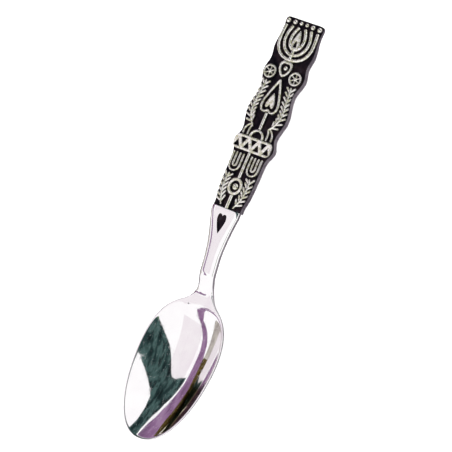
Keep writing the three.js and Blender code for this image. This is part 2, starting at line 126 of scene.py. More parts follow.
# %% Top line of the stem
HANDLE_ANGLE = math.radians(6.8)
HANDLE_SHIFT = 0.2
TIP_GROUND, PLATE_TIP = 0.8, 57.5
GROUND_AT_MIDDLE = TIP_GROUND + PLATE_TIP * math.sin(HANDLE_ANGLE)      # the plate's face, under the middle
RELIEF = 0.8
BLOCK_TOP = 5.2
STEM_FALL, FALL_EASE = 0.26, 2
NECK_START, NECK_END = -11.5, -18


def crest_line(y):
    return GROUND_AT_MIDDLE + RELIEF / math.cos(HANDLE_ANGLE) - math.tan(HANDLE_ANGLE) * (y - HANDLE_SHIFT)


def stem_fall(y):
    distance = np.maximum(0, BLOCK_TOP - y)
    return STEM_FALL * distance ** 2 / (distance + FALL_EASE)


def stem_top(y):
    t = np.clip((NECK_START - y) / (NECK_START - NECK_END), 0, 1)
    neck = crest_line(BOWL_HEEL) - stem_fall(BOWL_HEEL) - rim_height(BOWL_HEEL)
    return crest_line(y) - stem_fall(y) - neck * t * t * (3 - 2 * t)


print("stem top: block %.2f, neck %.2f mm" % (stem_top(BLOCK_END), stem_top(NECK_START)))


# %% [markdown]
# The outline is the egg of the bowl joined to the stem's outline by a soft maximum, which leaves the small
# fillets at the shoulders of the bowl. The stem narrows from the block to the neck, and opens again on a
# circle at its foot.

# %% Outline
EGG, FULLNESS = 0.15, 2.25
BOWL_HALF_WIDTH = 22.9 / 2                     # in the middle of its length
NECK_HALF_WIDTH, BLOCK_HALF_WIDTH = 2.25, 4.15
TAPER_START, TAPER_LENGTH, TAPER_POWER = -8, 12, 1.5
FOOT_FILLET, FILLET_LENGTH, FILLET_REACH = 7, 4.6, 6
SHOULDER_SOFTNESS = 0.5
JOIN_START, JOIN_END = 3, 0.2                  # how far inside the heel the two outlines are joined


def smooth_step(a, b, v):
    t = np.clip((v - a) / (b - a), 0, 1)
    return t * t * (3 - 2 * t)


def soft_max(a, b, width):
    return (a + b + np.sqrt((a - b) ** 2 + width ** 2)) / 2


def bowl_half_width(y):
    along = np.clip((y - BOWL_MIDDLE) / BOWL_HALF_LENGTH, -1, 1)
    across = (1 - np.abs(along) ** FULLNESS) ** (1 / FULLNESS)
    return BOWL_HALF_WIDTH * across * (1 + EGG * along)


def stem_half_width(y):
    taper = np.clip((y - TAPER_START) / TAPER_LENGTH, 0, 1)
    shoulder = (BLOCK_HALF_WIDTH - NECK_HALF_WIDTH) * taper ** TAPER_POWER
    into = np.clip(BOWL_HEEL + FILLET_LENGTH - y, 0, FILLET_REACH)
    opening = FOOT_FILLET - np.sqrt(FOOT_FILLET ** 2 - into ** 2)
    return NECK_HALF_WIDTH + shoulder + opening


def half_width(y):
    bowl = bowl_half_width(y)
    joined = soft_max(bowl, stem_half_width(y), SHOULDER_SOFTNESS)
    on_stem = smooth_step(BOWL_HEEL - JOIN_START, BOWL_HEEL - JOIN_END, y)
    return bowl * (1 - on_stem) + joined * on_stem


print("half widths: bowl %.2f, block %.2f mm" % (half_width(BOWL_MIDDLE), half_width(BLOCK_END)))


# %% [markdown]
# "Reach" is 0 in the middle of the dish and 1 on its edge. The depth falls off with a power of it, which is
# flatter in the middle than a ball and steeper at the rim, like a real spoon. A soft corner where the dish
# meets the rim, and a much softer one at the heel, stand for what the polishing wheel takes off.

# %% Depths under the rim line
BOWL_DEPTH, BOWL_WALL, RIM_WIDTH, DISH = 5.5, 0.9, 0.5, 2.3
RIM_SOFTNESS, HEEL_SOFTNESS, BACK_SOFTNESS = 0.012, 0.06, 0.01
HEEL_REACH = 6


def reach(x, y, inset):
    along = (y - BOWL_MIDDLE) / (BOWL_HALF_LENGTH - inset)
    width = (BOWL_HALF_WIDTH - inset) * (1 + EGG * np.clip(along, -1, 1))
    return (np.abs(along) ** FULLNESS + np.abs(x / width) ** FULLNESS) ** (1 / FULLNESS)


def soft_plus(v, width):
    """Nothing for a negative v and v for a positive one, with a soft bend in between."""
    return width * np.logaddexp(0, v / width)


def inner_depth(x, y):
    room = 1 - reach(x, y, RIM_WIDTH) ** DISH
    softness = RIM_SOFTNESS + HEEL_SOFTNESS * smooth_step(BOWL_HEEL - HEEL_REACH, BOWL_HEEL, y)
    return (BOWL_DEPTH - BOWL_WALL) * soft_plus(room, softness)


def outer_depth(x, y):
    room = 1 - reach(x, y, 0) ** DISH
    return BOWL_DEPTH * soft_plus(room, BACK_SOFTNESS)


print("dish: %.2f mm deep" % inner_depth(0, BOWL_MIDDLE))


# %% [markdown]
# A section is a thin rim with a dish under it in the bowl, and an oval bar in the stem. "Stemness" goes from
# 0 in the bowl to 1 in the stem, and the sizes of the section are mixed by it. Under the bowl the bar fades
# out as a low ridge. A squareness of 2 is an ellipse, and a higher one has fuller corners.

# %% Cross-section
STEM_THICKNESS, FOOT_THICKNESS = 2.4, 1.1
STEMNESS_REACH = 2.5                           # on both sides of the heel
THIN_BEFORE, THIN_AFTER = 2, 6                 # where the stem grows out of its thin foot, round the heel
RIDGE_START, RIDGE_END = 9, 1                  # where the ridge rises, inside the heel
RIM_EDGE, RIM_SQUARENESS = 0.22, 14
STEM_SQUARENESS, BLOCK_MORE_SQUARE, BLOCK_CHANGE = 2.4, 1.2, 4
BACK_SQUARENESS, RIDGE_SOFTNESS, LEAST_BELLY = 2.6, 0.25, 0.02


def round_edge(s, squareness):
    return np.clip(1 - np.abs(s) ** squareness, 0, 1) ** (1 / squareness)


def section(y, s):
    """Heights of the top and bottom line at station y, for places s from -1 to 1 across."""
    x = s * half_width(y)
    stemness = smooth_step(BOWL_HEEL - STEMNESS_REACH, BOWL_HEEL + STEMNESS_REACH, y)
    top_line = rim_height(y) * (1 - stemness) + stem_top(y) * stemness
    thin = 1 - smooth_step(BOWL_HEEL - THIN_BEFORE, BOWL_HEEL + THIN_AFTER, y)
    thickness = STEM_THICKNESS + (FOOT_THICKNESS - STEM_THICKNESS) * thin
    edge = RIM_EDGE * (1 - stemness) + thickness / 2 * stemness
    crown = STEM_SQUARENESS + BLOCK_MORE_SQUARE * smooth_step(-BLOCK_CHANGE, BLOCK_CHANGE, y)
    roundness = round_edge(s, RIM_SQUARENESS * (1 - stemness) + crown * stemness)
    top = top_line - edge * (1 - roundness) - inner_depth(x, y)
    ridge = smooth_step(BOWL_HEEL - RIDGE_START, BOWL_HEEL - RIDGE_END, y)
    bar = edge + (thickness - edge) * round_edge(s, BACK_SQUARENESS) * ridge
    dish = outer_depth(x, y) * (1 - stemness)
    belly = soft_max(bar, dish, RIDGE_SOFTNESS)
    bottom = top_line - np.maximum(belly, edge + LEAST_BELLY * roundness)
    return x, top, bottom


middle_top, middle_bottom = [float(line[0]) for line in section(BOWL_MIDDLE, np.zeros(1))[1:]]
print("wall in the middle of the bowl: %.2f mm" % (middle_top - middle_bottom))


# %% [markdown]
# Stations lie close together where the outline turns quickly, at the tip and at the heel. Towards the block
# the sections lean back, so that the block ends square to the handle plate.

# %% Stations and grid
STATIONS, ACROSS = 150, 72
TIP_INSET = 0.0004
LAST_IN_BOWL, FIRST_IN_STEM = 0.35, 0.3        # inside the heel
LEAN_START, LEAN_END = -4, 2
turns = np.linspace(0, math.pi, STATIONS)
bowl_stations = BOWL_MIDDLE - BOWL_HALF_LENGTH * np.cos(turns)
bowl_stations = bowl_stations[(bowl_stations > BOWL_TIP) & (bowl_stations < BOWL_HEEL - LAST_IN_BOWL)]
stem_stations = np.linspace(BOWL_HEEL - FIRST_IN_STEM, BLOCK_END, STATIONS)
stations = np.concatenate([[BOWL_TIP + TIP_INSET], bowl_stations, stem_stations])
s_line = np.sin(np.linspace(-math.pi / 2, math.pi / 2, 2 * ACROSS + 1))


def loft_grid():
    rows = []
    for y in stations:
        x, top, bottom = section(y, s_line)
        back = slice(-2, 0, -1)
        ring_x = np.concatenate([x, x[back]])
        ring_z = np.concatenate([top, bottom[back]])
        below = ring_z - top.max()
        lean = math.sin(HANDLE_ANGLE) * smooth_step(LEAN_START, LEAN_END, y)
        ring_y = y + below * lean
        rows.append(np.stack([ring_x, ring_y, np.maximum(ring_z, 0)], axis=1))
    return np.array(rows)


grid = loft_grid()
print("loft grid:", grid.shape, "lowest %.3f mm" % grid[:, :, 2].min())


# %% [markdown]
# The grid is cut in two near the heel, because bowl and stem are two pieces. Both get the normals of the
# whole loft, so that no seam shows in the polish.

# %% Normals and loft pieces
TINY = 1e-12


def grid_normals(points):
    along = np.gradient(points, axis=0)
    around = (np.roll(points, -1, axis=1) - np.roll(points, 1, axis=1)) / 2
    normal = np.cross(around, along)
    length = np.linalg.norm(normal, axis=2, keepdims=True)
    return normal / np.maximum(length, TINY)


normals = grid_normals(grid)


def mesh_object(name, points, faces, materials=()):
    mesh = bpy.data.meshes.new(name)
    mesh.from_pydata([tuple(p) for p in points], [], faces)
    mesh.update()
    thing = bpy.data.objects.new(name, mesh)
    bpy.context.scene.collection.objects.link(thing)
    for material in materials:
        mesh.materials.append(material)
    return thing


def loft_piece(name, first, last):
    """The part of the loft between two stations, closed with a flat cap at both ends."""
    part = grid[first:last + 1] * MM
    count, around = part.shape[:2]
    points = part.reshape(-1, 3).tolist()
    faces = []
    for i in range(count - 1):
        for j in range(around):
            k = (j + 1) % around
            faces.append((i * around + j, i * around + k, (i + 1) * around + k, (i + 1) * around + j))
    caps = []
    for row, turn in ((0, 1), (count - 1, -1)):
        start = len(points)
        points += part[row].tolist()
        ring = list(range(start, start + around))
        caps.append(tuple(ring[::turn][::-1]))
    thing = mesh_object(name, points, faces + caps)
    smooth = [True] * len(faces) + [False] * len(caps)
    thing.data.polygons.foreach_set("use_smooth", smooth)
    own = normals[first:last + 1].reshape(-1, 3)
    cap_normals = np.zeros((len(points) - len(own), 3))
    thing.data.normals_split_custom_set_from_vertices(np.concatenate([own, cap_normals]).tolist())
    return thing


# %% [markdown]
# Each piece is measured on a welded copy: a closed mesh whose faces look outward has a positive volume.

# %% The bowl and the stem
SEAM = BOWL_HEEL - 1.6
WELD = 1e-9
seam_row = int(np.argmin(np.abs(stations - SEAM)))
bowl_shell = loft_piece("bowl_shell", 0, seam_row)
stem_bar = loft_piece("stem_bar", seam_row, len(stations) - 1)
for thing in (bowl_shell, stem_bar):
    test = bmesh.new()
    test.from_mesh(thing.data)
    bmesh.ops.remove_doubles(test, verts=test.verts, dist=WELD)
    volume = test.calc_volume(signed=True) / MM ** 3
    print(thing.name, "faces", len(thing.data.polygons), "volume mm3 %.1f" % volume)
    test.free()


# %% [markdown]
# ## Finishes
# All of the spoon is silver. What differs is how it was treated: the bowl and the stem are mirror polished,
# the relief is buffed over dark corners, and the ground of the handle is blackened with sulphide.
# Silver's own colour is a nearly white hex value, and because it is a metal only its roughness, small bumps,
# tarnish and a painted reflection on the bowl's right wall change from place to place.
#
# Colours are written as the hex values that a person would pick, and turned to linear light once. A node is
# added with its settings, its links and the stops of a colour ramp in one call. The scale of a pattern comes
# from the size of its blobs in millimetres.

# %% Colours, nodes and pattern sizes
def linear(hex_colour):
    """sRGB hex such as "c0c0c0" to the linear numbers that the shader wants."""
    channels = [int(hex_colour[i:i + 2], 16) / 255 for i in (0, 2, 4)]
    return tuple(c / 12.92 if c <= 0.04045 else ((c + 0.055) / 1.055) ** 2.4 for c in channels) + (1.0,)


def add_node(tree, kind, settings=None, inputs=None, stops=()):
    """One node. A value in inputs is a number, a colour, or another node's output socket.
    Stops are the places and hex colours of a colour ramp."""
    node = tree.nodes.new(kind)
    for name, value in (settings or {}).items():
        setattr(node, name, value)
    for name, value in (inputs or {}).items():
        if isinstance(value, bpy.types.NodeSocket):
            tree.links.new(value, node.inputs[name])
        else:
            node.inputs[name].default_value = value
    if stops:
        elements = node.color_ramp.elements
        while len(elements) < len(stops):
            elements.new(0.5)
        for element, (place, colour) in zip(elements, stops):
            element.position = place
            element.color = linear(colour)
    return node


def new_material(name):
    material = bpy.data.materials.new(name)
    material.use_nodes = True
    material.node_tree.nodes.clear()
    return material, material.node_tree


def blobs(size_mm):
    """The texture scale that makes blobs about size_mm across."""
    return 1 / (size_mm * MM)


SMOOTH = {"interpolation_type": "SMOOTHSTEP"}
print("silver in linear light: %.2f %.2f %.2f" % linear("f3f0f2")[:3])


# %% [markdown]
# ### Painted reflection on the bowl's right wall
# The steep right wall of the bowl carries brown and olive streaks, drawn out along the wall. They are a
# painted reflection of the brown things low to the left, which the polished wall mirrors. Three measures of
# the place make the mask: beyond a slanted line across, in the outer half, and on the slope that faces left.

# %% Painted reflection on the wall of the bowl
WALL_START, WALL_FULL, WALL_SLANT = 11.5, 12.1, -0.15
OUTER_FULL, OUTER_END = -41.0, -37.0
SLOPE_FULL, SLOPE_END = -0.42, -0.28


def painted_reflection_on_wall(tree, coords):
    """How much painted reflection there is, from 0 to 1."""
    place = add_node(tree, "ShaderNodeSeparateXYZ", inputs={0: coords.outputs["Object"]})
    facing = add_node(tree, "ShaderNodeSeparateXYZ", inputs={0: coords.outputs["Normal"]})
    line = add_node(tree, "ShaderNodeMath", {"operation": "MULTIPLY_ADD"}, {
        0: place.outputs["Y"], 1: WALL_SLANT, 2: place.outputs["X"]})
    beyond_line = add_node(tree, "ShaderNodeMapRange", SMOOTH, {
        "Value": line.outputs[0], "From Min": WALL_START * MM, "From Max": WALL_FULL * MM})
    outer_half = add_node(tree, "ShaderNodeMapRange", SMOOTH, {
        "Value": place.outputs["Y"], "From Min": OUTER_FULL * MM, "From Max": OUTER_END * MM,
        "To Min": 1.0, "To Max": 0.0})
    on_slope = add_node(tree, "ShaderNodeMapRange", SMOOTH, {
        "Value": facing.outputs["X"], "From Min": SLOPE_FULL, "From Max": SLOPE_END,
        "To Min": 1.0, "To Max": 0.0})
    there = add_node(tree, "ShaderNodeMath", {"operation": "MULTIPLY"}, {
        0: beyond_line.outputs["Result"], 1: outer_half.outputs["Result"]})
    amount = add_node(tree, "ShaderNodeMath", {"operation": "MULTIPLY"}, {
        0: there.outputs[0], 1: on_slope.outputs["Result"]})
    return amount.outputs[0]


# The colour of the painted reflection: brown and olive streaks drawn out along the wall.
def painted_reflection_colour(tree, place):
    drawn_out = add_node(tree, "ShaderNodeMapping", inputs={"Vector": place, "Scale": (1.0, 0.12, 1.0)})
    streaks = add_node(tree, "ShaderNodeTexNoise", inputs={
        "Vector": drawn_out.outputs["Vector"], "Scale": blobs(1.1), "Detail": 3.0})
    colour = add_node(tree, "ShaderNodeValToRGB", inputs={"Fac": streaks.outputs["Fac"]}, stops=[
        (0.32, "2a2013"), (0.46, "5c4d25"), (0.56, "3a2e1a"), (0.68, "cfc6a8")])
    return colour.outputs["Color"]


# Where the painted reflection starts across the bowl.
wall_x = WALL_START - WALL_SLANT * OUTER_FULL
print("tarnish at y %.0f mm starts %.1f mm right of the middle line" % (OUTER_FULL, wall_x))


# %% [markdown]
# ### Mirror-polished silver
# Rouge-polished silver, worn by wiping. It gives the eye a clear mirror with hairline scratches in two
# directions, a few tiny pits, and a faint cool and rosy cloudiness. Scratches are really a few hundredths of
# a millimetre wide, and are drawn at about a tenth, so that they show.

# %% Polished silver
def make_polished():
    material, tree = new_material("polished_silver")
    coords = add_node(tree, "ShaderNodeTexCoord")
    place = coords.outputs["Object"]
    cloud = add_node(tree, "ShaderNodeTexNoise", inputs={
        "Vector": place, "Scale": blobs(9.0), "Detail": 2.0})
    tint = add_node(tree, "ShaderNodeValToRGB", inputs={"Fac": cloud.outputs["Fac"]}, stops=[
        (0.35, "f3f0f2"), (0.55, "f6f4f5"), (0.75, "f0eaef")])
    lengthways = add_node(tree, "ShaderNodeMapping", inputs={"Vector": place, "Scale": (1.0, 0.05, 1.0)})
    crossways = add_node(tree, "ShaderNodeMapping", inputs={"Vector": place, "Scale": (0.06, 0.9, 0.9)})
    long_hairs = add_node(tree, "ShaderNodeTexNoise", inputs={
        "Vector": lengthways.outputs["Vector"], "Scale": blobs(0.9), "Detail": 4.0})
    cross_hairs = add_node(tree, "ShaderNodeTexNoise", inputs={
        "Vector": crossways.outputs["Vector"], "Scale": blobs(0.8), "Detail": 4.0})
    hairs = add_node(tree, "ShaderNodeMath", {"operation": "MAXIMUM"}, {
        0: long_hairs.outputs["Fac"], 1: cross_hairs.outputs["Fac"]})
    pits = add_node(tree, "ShaderNodeTexVoronoi", inputs={"Vector": place, "Scale": blobs(5.2)})
    pit = add_node(tree, "ShaderNodeMapRange", SMOOTH, {
        "Value": pits.outputs["Distance"], "From Min": 0.02, "From Max": 0.05, "To Min": 1.0, "To Max": 0.0})
    pitted = add_node(tree, "ShaderNodeMix", {"data_type": "RGBA"}, {
        "Factor": pit.outputs["Result"], 6: tint.outputs["Color"], 7: linear("4b4650")})
    # On the bowl's right wall the colour becomes a painted reflection of brown and olive streaks.
    colour = add_node(tree, "ShaderNodeMix", {"data_type": "RGBA"}, {
        "Factor": painted_reflection_on_wall(tree, coords), 6: pitted.outputs[2], 7: painted_reflection_colour(tree, place)})
    dust = add_node(tree, "ShaderNodeTexNoise", inputs={
        "Vector": place, "Scale": blobs(0.22), "Detail": 1.0})
    speckle = add_node(tree, "ShaderNodeMapRange", SMOOTH, {
        "Value": dust.outputs["Fac"], "From Min": 0.66, "From Max": 0.72, "To Min": 0.0, "To Max": 0.22})
    worn = add_node(tree, "ShaderNodeMapRange", SMOOTH, {
        "Value": hairs.outputs[0], "From Min": 0.55, "From Max": 0.75, "To Min": 0.045, "To Max": 0.15})
    rough = add_node(tree, "ShaderNodeMath", {"operation": "ADD"}, {
        0: speckle.outputs["Result"], 1: worn.outputs["Result"]})
    bump = add_node(tree, "ShaderNodeBump", inputs={
        "Strength": 0.06, "Distance": 0.02 * MM, "Height": hairs.outputs[0]})
    shader = add_node(tree, "ShaderNodeBsdfPrincipled", inputs={
        "Base Color": colour.outputs[2], "Metallic": 1.0, "Roughness": rough.outputs[0],
        "Normal": bump.outputs["Normal"]})
    add_node(tree, "ShaderNodeOutputMaterial", inputs={"Surface": shader.outputs["BSDF"]})
    return material


polished = make_polished()
print("polished silver nodes:", len(polished.node_tree.nodes))


# %% [markdown]
# ### Blackened ground
# Liver of sulphur leaves a film over a ground that was matted with a punch. It gives the eye a dull
# blue-black with brown and violet patches, from which the ornaments stand out. Where the plate was polished
# again, on its edge and its back, the silver is bright, so the mask asks which way the surface faces in the
# plate's own frame.

# %% Blackened silver
handle_frame = (Matrix.Translation((0, HANDLE_SHIFT * MM, GROUND_AT_MIDDLE * MM))
                @ Matrix.Rotation(-HANDLE_ANGLE, 4, "X"))
plate_normal = (0, math.sin(HANDLE_ANGLE), math.cos(HANDLE_ANGLE))


def make_oxidised():
    material, tree = new_material("oxidised_silver")
    coords = add_node(tree, "ShaderNodeTexCoord")
    place = coords.outputs["Object"]
    patches = add_node(tree, "ShaderNodeTexNoise", inputs={
        "Vector": place, "Scale": blobs(2.2), "Detail": 4.0})
    film = add_node(tree, "ShaderNodeValToRGB", inputs={"Fac": patches.outputs["Fac"]}, stops=[
        (0.3, "131118"), (0.48, "241f27"), (0.6, "33282d"), (0.75, "40404a")])
    facing = add_node(tree, "ShaderNodeVectorMath", {"operation": "DOT_PRODUCT"}, {
        0: coords.outputs["Normal"], 1: plate_normal})
    grain = add_node(tree, "ShaderNodeTexNoise", inputs={
        "Vector": place, "Scale": blobs(0.25), "Detail": 2.0})
    worn = add_node(tree, "ShaderNodeMath", {"operation": "MULTIPLY_ADD"}, {
        0: grain.outputs["Fac"], 1: 0.12, 2: facing.outputs["Value"]})
    bright = add_node(tree, "ShaderNodeMapRange", SMOOTH, {
        "Value": worn.outputs[0], "From Min": 0.82, "From Max": 0.98, "To Min": 1.0, "To Max": 0.0})
    cloud = add_node(tree, "ShaderNodeTexNoise", inputs={
        "Vector": place, "Scale": blobs(1.6), "Detail": 3.0})
    silver = add_node(tree, "ShaderNodeValToRGB", inputs={"Fac": cloud.outputs["Fac"]}, stops=[
        (0.35, "cfc8cc"), (0.65, "f2efef")])
    colour = add_node(tree, "ShaderNodeMix", {"data_type": "RGBA"}, {
        "Factor": bright.outputs["Result"], 6: film.outputs["Color"], 7: silver.outputs["Color"]})
    rough = add_node(tree, "ShaderNodeMapRange", SMOOTH, {
        "Value": bright.outputs["Result"], "To Min": 0.5, "To Max": 0.2})
    bump = add_node(tree, "ShaderNodeBump", inputs={
        "Strength": 0.35, "Distance": 0.05 * MM, "Height": grain.outputs["Fac"]})
    shader = add_node(tree, "ShaderNodeBsdfPrincipled", inputs={
        "Base Color": colour.outputs[2], "Metallic": 1.0, "Roughness": rough.outputs["Result"],
        "Normal": bump.outputs["Normal"]})
    add_node(tree, "ShaderNodeOutputMaterial", inputs={"Surface": shader.outputs["BSDF"]})
    return material


oxidised = make_oxidised()
print("blackened silver nodes:", len(oxidised.node_tree.nodes))


# %% [markdown]
# ### Buffed relief
# The ornaments were blackened with the ground and then buffed. They give the eye bright, slightly warm tops,
# and the black stays low on their walls. The finish asks how high a point lies above the plate.

# %% Relief silver
def height_over_plate(tree, place):
    """Millimetres above the plate's face, for a point on the handle."""
    along_normal = add_node(tree, "ShaderNodeVectorMath", {"operation": "DOT_PRODUCT"}, {
        0: place, 1: plate_normal})
    face = plate_normal[1] * HANDLE_SHIFT * MM + plate_normal[2] * GROUND_AT_MIDDLE * MM
    above = add_node(tree, "ShaderNodeMath", {"operation": "SUBTRACT"}, {
        0: along_normal.outputs["Value"], 1: face})
    in_mm = add_node(tree, "ShaderNodeMath", {"operation": "DIVIDE"}, {0: above.outputs[0], 1: MM})
    return in_mm.outputs[0]


def make_relief():
    material, tree = new_material("relief_silver")
    place = add_node(tree, "ShaderNodeTexCoord").outputs["Object"]
    cloud = add_node(tree, "ShaderNodeTexNoise", inputs={
        "Vector": place, "Scale": blobs(1.1), "Detail": 3.0})
    silver = add_node(tree, "ShaderNodeValToRGB", inputs={"Fac": cloud.outputs["Fac"]}, stops=[
        (0.3, "ebe6da"), (0.46, "fbfaf6"), (0.6, "cdccae"), (0.72, "f3eef6")])
    rub = add_node(tree, "ShaderNodeMath", {"operation": "MULTIPLY_ADD"}, {
        0: cloud.outputs["Fac"], 1: 0.3, 2: height_over_plate(tree, place)})
    black = add_node(tree, "ShaderNodeMapRange", SMOOTH, {
        "Value": rub.outputs[0], "From Min": 0.22, "From Max": 0.56, "To Min": 1.0, "To Max": 0.0})
    colour = add_node(tree, "ShaderNodeMix", {"data_type": "RGBA"}, {
        "Factor": black.outputs["Result"], 6: silver.outputs["Color"], 7: linear("17141a")})
    rough = add_node(tree, "ShaderNodeMapRange", SMOOTH, {
        "Value": black.outputs["Result"], "To Min": 0.17, "To Max": 0.45})
    grain = add_node(tree, "ShaderNodeTexNoise", inputs={
        "Vector": place, "Scale": blobs(0.3), "Detail": 3.0})
    bump = add_node(tree, "ShaderNodeBump", inputs={
        "Strength": 0.15, "Distance": 0.03 * MM, "Height": grain.outputs["Fac"]})
    shader = add_node(tree, "ShaderNodeBsdfPrincipled", inputs={
        "Base Color": colour.outputs[2], "Metallic": 1.0, "Roughness": rough.outputs["Result"],
        "Normal": bump.outputs["Normal"]})
    add_node(tree, "ShaderNodeOutputMaterial", inputs={"Surface": shader.outputs["BSDF"]})
    return material


relief = make_relief()
print("relief silver nodes:", len(relief.node_tree.nodes))


# %% [markdown]
# ## The sunk heart
# The heart is punched into the block. A heart-shaped prism with the darkened finish is cut out of the stem
# with a boolean, and the cut faces keep the prism's finish. A small bevel then rounds the edges as
# polishing does.

# %% The punch
HEART_Y, HEART_DEPTH, HEART_TILT = 1.2, 0.65, math.radians(12)
PUNCH_HEIGHT, CURVE_STEPS = 3, 12
HEART_CURVES = [((0, -1.5), (0.9, 0.4), (1.3, 2.2)), ((1.3, 2.2), (1.35, 3.8), (0.65, 3.75)),
                ((0.65, 3.75), (0.15, 3.7), (0, 3.2))]
heart_frame = (handle_frame
               @ Matrix.Translation((0, HEART_Y * MM, (RELIEF - stem_fall(HEART_Y) - HEART_DEPTH) * MM))
               @ Matrix.Rotation(HEART_TILT, 4, "X") @ Matrix.Translation((0, -HEART_Y * MM, 0)))


def heart_line():
    """Right half from the point up to the cleft, as quadratic curves, and its mirror image."""
    half = []
    for a, b, c in HEART_CURVES:
        for t in np.linspace(0, 1, CURVE_STEPS)[:-1]:
            half.append(tuple((1 - t) ** 2 * a[i] + 2 * t * (1 - t) * b[i] + t * t * c[i] for i in (0, 1)))
    half.append(HEART_CURVES[-1][2])
    return half + [(-x, y) for x, y in reversed(half[1:-1])]


def heart_prism(name, line, height, material):
    count = len(line)
    points = [(x, y, z) for z in (0.0, height) for x, y in line]
    faces = [tuple(reversed(range(count))), tuple(range(count, 2 * count))]
    faces += [(i, (i + 1) % count, count + (i + 1) % count, count + i) for i in range(count)]
    return mesh_object(name, [heart_frame @ (Vector(p) * MM) for p in points], faces, [material])


punch = heart_prism("heart_punch", heart_line(), PUNCH_HEIGHT, oxidised)
print("punch faces:", len(punch.data.polygons))


# %% [markdown]
# The modifiers are applied at once, because the punch is only a tool and doesn't stay in the scene.

# %% Cut the heart into the block
STEM_EDGE, STEM_EDGE_ANGLE = 0.09, math.radians(50)


def apply_modifiers(thing):
    depsgraph = bpy.context.evaluated_depsgraph_get()
    result = bpy.data.meshes.new_from_object(thing.evaluated_get(depsgraph))
    thing.modifiers.clear()
    thing.data = result


stem_bar.data.materials.append(polished)
bowl_shell.data.materials.append(polished)
cut = stem_bar.modifiers.new("heart", "BOOLEAN")
cut.object = punch
cut.operation = "DIFFERENCE"
cut.solver = "EXACT"
cut.material_mode = "TRANSFER"
soften = stem_bar.modifiers.new("soften", "BEVEL")
soften.width = STEM_EDGE * MM
soften.segments = 2
soften.limit_method = "ANGLE"
soften.angle_limit = STEM_EDGE_ANGLE
soften.harden_normals = True
apply_modifiers(stem_bar)
bpy.data.objects.remove(punch)
print("stem faces after the punch:", len(stem_bar.data.polygons), [m.name for m in stem_bar.data.materials])

# %% [markdown]
# ## The handle
# The plate and its ornaments keep their CAD solids, which have the right shape. A fine voxel remesh and a
# few rounds of smoothing give the ornaments the soft edges of cast silver, and what the smoothing takes off
# their width is added again. The plate only gets a bevel.

# %% Plate and ornaments
PLATE_EDGE, PLATE_EDGE_ANGLE = 0.18, math.radians(40)
CAST_CELL, CAST_ROUNDS, CAST_REFILL = 0.07, 4, 0.04

plate = nodes["handle_plate"]
plate.data.materials.clear()
plate.data.materials.append(oxidised)
edge = plate.modifiers.new("edge", "BEVEL")
edge.width = PLATE_EDGE * MM
edge.segments = 3
edge.limit_method = "ANGLE"
edge.angle_limit = PLATE_EDGE_ANGLE

RELIEF_NAMES = sorted(set(nodes) - {"bowl", "stem", "handle_plate"})
for name in RELIEF_NAMES:
    ornament = nodes[name]
    ornament.data.materials.clear()
    ornament.data.materials.append(relief)
    cast = ornament.modifiers.new("cast", "REMESH")
    cast.mode = "VOXEL"
    cast.voxel_size = CAST_CELL * MM
    cast.use_smooth_shade = True
    soften = ornament.modifiers.new("soften", "SMOOTH")
    soften.factor = 0.5
    soften.iterations = CAST_ROUNDS
    refill = ornament.modifiers.new("refill", "DISPLACE")
    refill.mid_level = 0
    refill.strength = CAST_REFILL * MM
print("ornaments:", len(RELIEF_NAMES))


# %% [markdown]
# ## Floor and light
# The spoon lies on white paper (matt, and just short of full white) in a white tent, so the world is evenly
# bright. A soft lamp only lifts the paper to white: it casts no shadow and isn't seen in the polish.
# The world is left out of light sampling, because sampled light would reach the silver through the cards
# below, which cast no shadow.

# %% Paper, tent and lamp
PAPER_HALF, PAPER_DROP = 3, 0.00005
TENT_STRENGTH = 1.1
LAMP_SIDE, LAMP_WATTS, LAMP_PLACE = 0.5, 6, (-0.35, 0.2, 0.6)


def flat_card(name, centre, side_a, side_b, material):
    c, a, b = Vector(centre), Vector(side_a), Vector(side_b)
    card = mesh_object(name, [c - a - b, c + a - b, c + a + b, c - a + b], [(0, 1, 2, 3)], [material])
    return card


paper, tree = new_material("white_paper")
matt = add_node(tree, "ShaderNodeBsdfPrincipled", inputs={"Base Color": linear("fbfbfb"), "Roughness": 0.9})
add_node(tree, "ShaderNodeOutputMaterial", inputs={"Surface": matt.outputs["BSDF"]})
flat_card("paper", (0, 0, -PAPER_DROP), (PAPER_HALF, 0, 0), (0, PAPER_HALF, 0), paper)

world = bpy.data.worlds.new("white_tent")
bpy.context.scene.world = world
world.use_nodes = True
world.node_tree.nodes["Background"].inputs["Color"].default_value = linear("ffffff")
world.node_tree.nodes["Background"].inputs["Strength"].default_value = TENT_STRENGTH
world.cycles.sampling_method = "NONE"

lamp_data = bpy.data.lights.new("soft_lamp", "AREA")
lamp_data.shape = "RECTANGLE"
lamp_data.size = LAMP_SIDE
lamp_data.size_y = LAMP_SIDE
lamp_data.energy = LAMP_WATTS
lamp_data.use_shadow = False
lamp = bpy.data.objects.new("soft_lamp", lamp_data)
lamp.visible_glossy = False
lamp.location = LAMP_PLACE
lamp.rotation_euler = (-lamp.location).to_track_quat("-Z", "Y").to_euler()
bpy.context.scene.collection.objects.link(lamp)
bpy.context.scene.view_settings.view_transform = "Standard"
print("lamp: %.2f m from the spoon" % lamp.location.length)


# %% [markdown]
# ## What the polish reflects
# In a studio, silver is shaped with cards. Each card here is drawn as it shows on the bowl: an outline in
# the bowl's own millimetres is carried along the mirror direction of the dish, out to the card's distance.
# The mirror direction is the camera's direction folded over the surface normal. Cards are seen by
# reflections only, so they neither shade the paper nor show beside the spoon.

# %% Mirror direction of the dish
CARD_DISTANCE = 3.0
SLOPE_STEP = 0.02


def dish_height(x, y):
    return rim_height(y) - (BOWL_DEPTH - BOWL_WALL) * (1 - reach(x, y, RIM_WIDTH) ** DISH)


